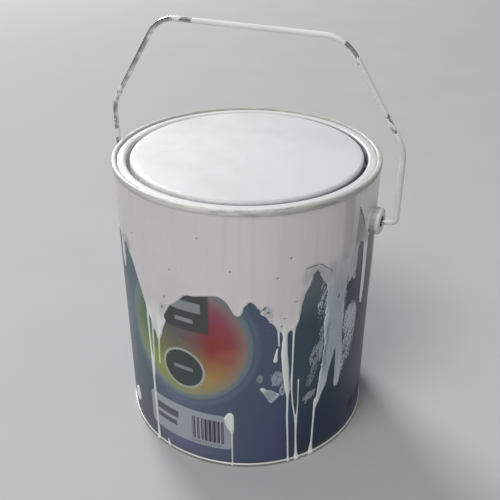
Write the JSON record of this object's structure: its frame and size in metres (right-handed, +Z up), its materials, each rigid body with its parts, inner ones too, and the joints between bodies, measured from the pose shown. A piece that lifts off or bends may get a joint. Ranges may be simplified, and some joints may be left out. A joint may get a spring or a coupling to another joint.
{
  "type": "paint can",
  "caption": "Round lever-lid metal paint can with a press-in lid and a bent wire bail that swings on two pressed ears.",
  "frame": {"origin": "centre of the foot of the can, on the surface that it stands on", "axes": "+Z up along the can's axis, +X along the bail's pivot axis, towards the right ear, -Y the front"},
  "size_m": [0.2018, 0.1694, 0.2686],
  "materials": {
    "tinplate": "satin",
    "white_paint": "satin",
    "ear_steel": "satin",
    "wire_steel": "satin",
    "label_print": "satin",
    "sealing_compound": "matte"
  },
  "bodies": {
    "can": {"body_shell": "tinplate", "base_end": "tinplate", "top_ring": "tinplate", "ear_left": "ear_steel", "ear_right": "ear_steel", "base_seam_compound": "sealing_compound", "top_seam_compound": "sealing_compound", "label_wrap": "label_print"},
    "lid": {"lever_lid": "white_paint"},
    "bail": {"bail_wire": "wire_steel"}
  },
  "joints": [
    {"name": "lid_lift", "type": "slide", "parent": "can", "child": "lid", "axis": [0, 0, 1], "range_m": [0, 0.04]},
    {"name": "bail_hinge", "type": "hinge", "parent": "can", "child": "bail", "pos_m": [0, 0, 0.1606], "axis": [1, 0, 0], "range_deg": [-124, 124]}
  ]
}
